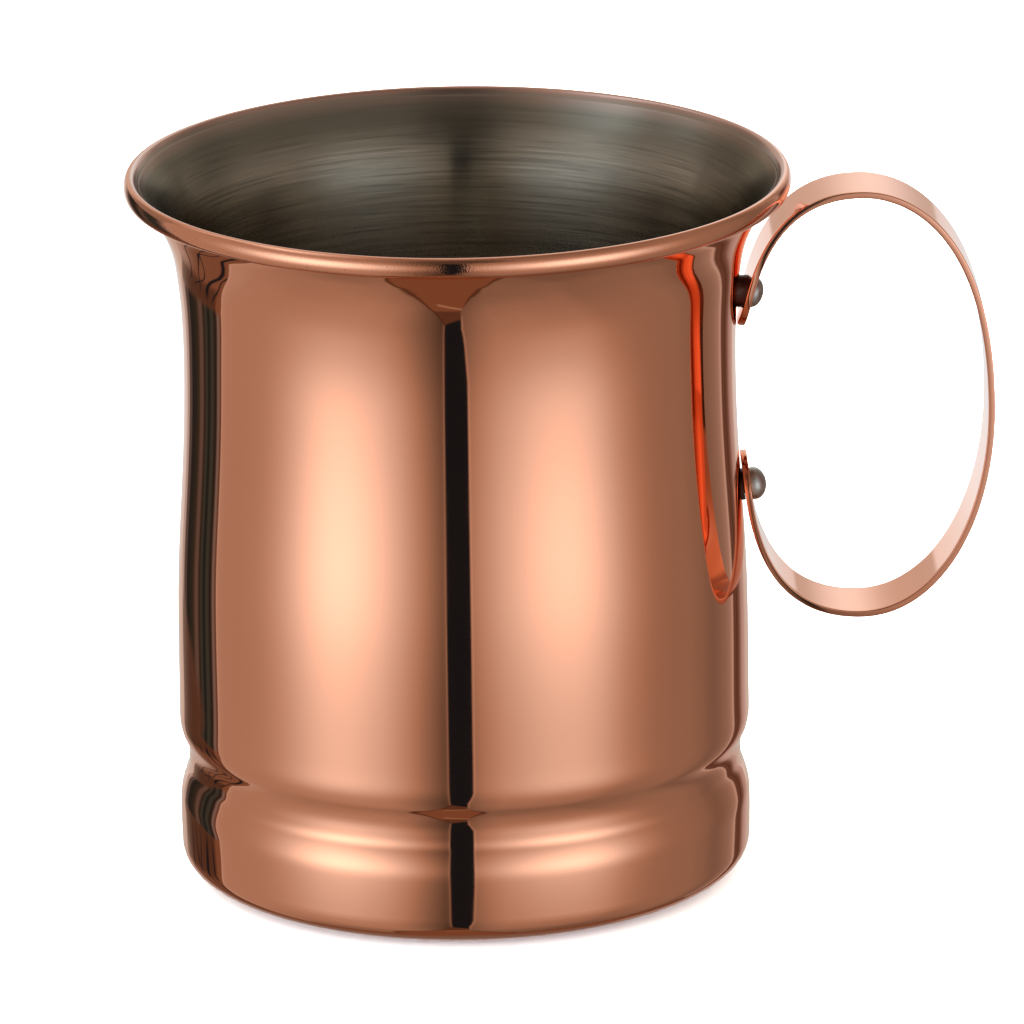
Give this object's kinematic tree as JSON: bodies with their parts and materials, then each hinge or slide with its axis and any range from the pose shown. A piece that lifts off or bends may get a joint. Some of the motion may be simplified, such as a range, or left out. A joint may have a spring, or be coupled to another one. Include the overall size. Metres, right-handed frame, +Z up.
{
  "type": "copper mug",
  "caption": "Flared copper mug with a steel liner, a rolled lip, a groove near its base and a riveted strap handle.",
  "frame": {"origin": "centre of the flat base, where the mug rests", "axes": "+Z up along the cup's axis, +X towards the handle"},
  "size_m": [0.1238, 0.095, 0.1033],
  "materials": {
    "polished_copper": "mirror-polished copper, lacquered",
    "strap_copper": "satin-polished copper strip with slightly dull cut edges",
    "brushed_liner": "dull steel with fine scratches running round it",
    "rivet_steel": "satin grey steel, tumbled",
    "spacer_steel": "dark plain steel"
  },
  "bodies": {
    "root": {"copper_shell": "polished_copper", "steel_liner": "brushed_liner", "handle_strap": "strap_copper", "upper_rivet": "rivet_steel", "lower_rivet": "rivet_steel", "upper_spacer": "spacer_steel", "lower_spacer": "spacer_steel", "upper_washer": "spacer_steel", "lower_washer": "spacer_steel"}
  },
  "joints": []
}
